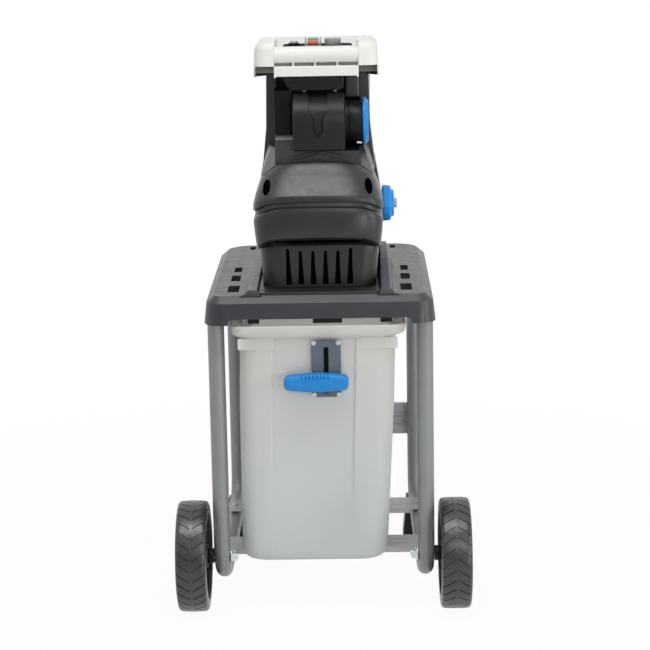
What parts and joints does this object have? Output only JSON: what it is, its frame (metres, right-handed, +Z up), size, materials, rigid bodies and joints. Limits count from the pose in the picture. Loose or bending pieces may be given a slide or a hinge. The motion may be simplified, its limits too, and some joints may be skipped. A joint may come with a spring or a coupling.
{
  "type": "garden shredder",
  "caption": "Wheeled electric garden shredder: tilting top-fed hopper over a toothed cutting roller, motor housing, tube frame and slide-out translucent collection box.",
  "frame": {"origin": "on the floor, in the middle of the footprint box", "axes": "+Z up, -Y toward the wheels and the pull-out side of the box, +X toward the adjusting knob"},
  "size_m": [0.499, 0.5639, 0.9672],
  "materials": {
    "frame_steel": "satin silver-grey paint",
    "bar_steel": "satin silver-grey paint",
    "zinc": "zinc plated",
    "black_plastic": "fine grain",
    "platform_plastic": "fine grain charcoal",
    "wheel_plastic": "fine grain",
    "tyre": "moulded tread",
    "box_plastic": "milky translucent",
    "latch_plastic": "satin blue-grey",
    "slide_plastic": "plain",
    "blue_plastic": "satin blue",
    "housing_plastic": "fine grain grey-black",
    "motor_steel": "plain",
    "rotor_steel": "laminated core and copper",
    "fan_plastic": "plain",
    "case_aluminium": "die cast, dark coated",
    "gear_steel": "hardened",
    "shaft_steel": "ground",
    "roller_steel": "hardened, oil-dark",
    "counter_aluminium": "cast",
    "light_plastic": "satin light grey",
    "white_plastic": "satin white",
    "panel_plastic": "satin dark",
    "green_plastic": "satin green",
    "red_plastic": "satin red",
    "silver_plastic": "silver",
    "grey_plastic": "satin grey"
  },
  "bodies": {
    "chassis": {"frame_left": "frame_steel", "frame_right": "frame_steel", "cross_bar_front": "bar_steel", "cross_bar_rear": "bar_steel", "rear_brace": "bar_steel", "bar_screws": "zinc", "foot_left": "black_plastic", "foot_right": "black_plastic", "platform": "platform_plastic", "leg_screws": "zinc", "axle_bolts": "zinc", "axle_nuts": "zinc", "axle_spacers": "black_plastic", "interlock_catch": "black_plastic", "box_guides": "black_plastic", "vent_base": "housing_plastic", "motor_cover": "housing_plastic", "cover_screws": "zinc", "motor_can": "motor_steel", "gear_case": "case_aluminium", "shaft_bearings": "shaft_steel", "cutter_housing": "housing_plastic", "hinge_block": "housing_plastic", "hinge_pin": "shaft_steel"},
    "wheel_left_set": {"wheel_left": "wheel_plastic", "tyre_left": "tyre"},
    "wheel_right_set": {"wheel_right": "wheel_plastic", "tyre_right": "tyre"},
    "box_set": {"box": "box_plastic", "latch_plate": "latch_plastic", "latch_screws": "zinc"},
    "latch_set": {"latch_slide": "slide_plastic", "latch_grip": "blue_plastic"},
    "rotor_set": {"rotor": "rotor_steel", "motor_fan": "fan_plastic"},
    "lay_set": {"lay_gear": "gear_steel"},
    "roller_set": {"output_gear": "gear_steel", "roller_shaft": "shaft_steel", "cutting_roller": "roller_steel"},
    "counter_set": {"counter_plate": "counter_aluminium"},
    "adjuster_set": {"adjust_spindle": "shaft_steel", "adjust_knob": "blue_plastic", "knob_cap": "light_plastic"},
    "lock_set": {"lock_hub": "black_plastic", "lock_knob": "blue_plastic"},
    "hopper_set": {"hopper": "housing_plastic", "hopper_cap": "white_plastic", "switch_panel": "panel_plastic", "switch_box": "housing_plastic", "switch_box_screws": "zinc", "switch_frame": "panel_plastic"},
    "on_set": {"button_on": "green_plastic"},
    "off_set": {"button_off": "red_plastic"},
    "reset_set": {"reset_button": "silver_plastic"},
    "selector_set": {"direction_knob": "grey_plastic"}
  },
  "joints": [
    {"name": "wheel_left_spin", "type": "hinge", "parent": "chassis", "child": "wheel_left_set", "pos_m": [-0.2235, -0.1875, 0.095], "axis": [1, 0, 0], "continuous": true},
    {"name": "wheel_right_spin", "type": "hinge", "parent": "chassis", "child": "wheel_right_set", "pos_m": [0.2235, -0.1875, 0.095], "axis": [1, 0, 0], "continuous": true},
    {"name": "box_pull", "type": "slide", "parent": "chassis", "child": "box_set", "axis": [0, -1, 0], "range_m": [0, 0.42]},
    {"name": "latch_lift", "type": "slide", "parent": "box_set", "child": "latch_set", "axis": [0, 0, 1], "range_m": [0, 0.03]},
    {"name": "hopper_tilt", "type": "hinge", "parent": "chassis", "child": "hopper_set", "pos_m": [0, -0.1175, 0.83025], "axis": [1, 0, 0], "range_deg": [0, 80]},
    {"name": "lock_turn", "type": "hinge", "parent": "chassis", "child": "lock_set", "pos_m": [0.07, -0.1175, 0.83025], "axis": [1, 0, 0], "range_deg": [0, 90]},
    {"name": "adjuster_turn", "type": "hinge", "parent": "chassis", "child": "adjuster_set", "pos_m": [0.12, 0.0535, 0.66425], "axis": [1, 0, 0], "range_deg": [0, 720]},
    {"name": "counter_feed", "type": "slide", "parent": "chassis", "child": "counter_set", "axis": [-1, 0, 0], "range_m": [0, 0.0025]},
    {"name": "roller_spin", "type": "hinge", "parent": "chassis", "child": "roller_set", "pos_m": [-0.014, 0.0535, 0.66425], "axis": [0, 1, 0], "continuous": true},
    {"name": "lay_spin", "type": "hinge", "parent": "chassis", "child": "lay_set", "pos_m": [0.04354, -0.0375, 0.66167], "axis": [0, 1, 0], "continuous": true},
    {"name": "rotor_spin", "type": "hinge", "parent": "chassis", "child": "rotor_set", "pos_m": [0, -0.1275, 0.68625], "axis": [0, 1, 0], "continuous": true},
    {"name": "on_press", "type": "slide", "parent": "hopper_set", "child": "on_set", "axis": [0, 0, -1], "range_m": [0, 0.0025], "stiffness_N_per_m": 400, "springref_m": -0.002},
    {"name": "off_press", "type": "slide", "parent": "hopper_set", "child": "off_set", "axis": [0, 0, -1], "range_m": [0, 0.0025], "stiffness_N_per_m": 400, "springref_m": -0.002},
    {"name": "reset_press", "type": "slide", "parent": "hopper_set", "child": "reset_set", "axis": [0, 0, -1], "range_m": [0, 0.0022], "stiffness_N_per_m": 400, "springref_m": -0.002},
    {"name": "selector_turn", "type": "hinge", "parent": "hopper_set", "child": "selector_set", "pos_m": [0.028, -0.0945, 0.96], "axis": [0, 0, 1], "range_deg": [0, 90]}
  ],
  "couplings": [
    {"joint": "lay_spin", "follows": "roller_spin", "ratio": -7},
    {"joint": "rotor_spin", "follows": "roller_spin", "ratio": 49},
    {"joint": "adjuster_turn", "follows": "counter_feed", "rad_per_m": 5016.5}
  ]
}
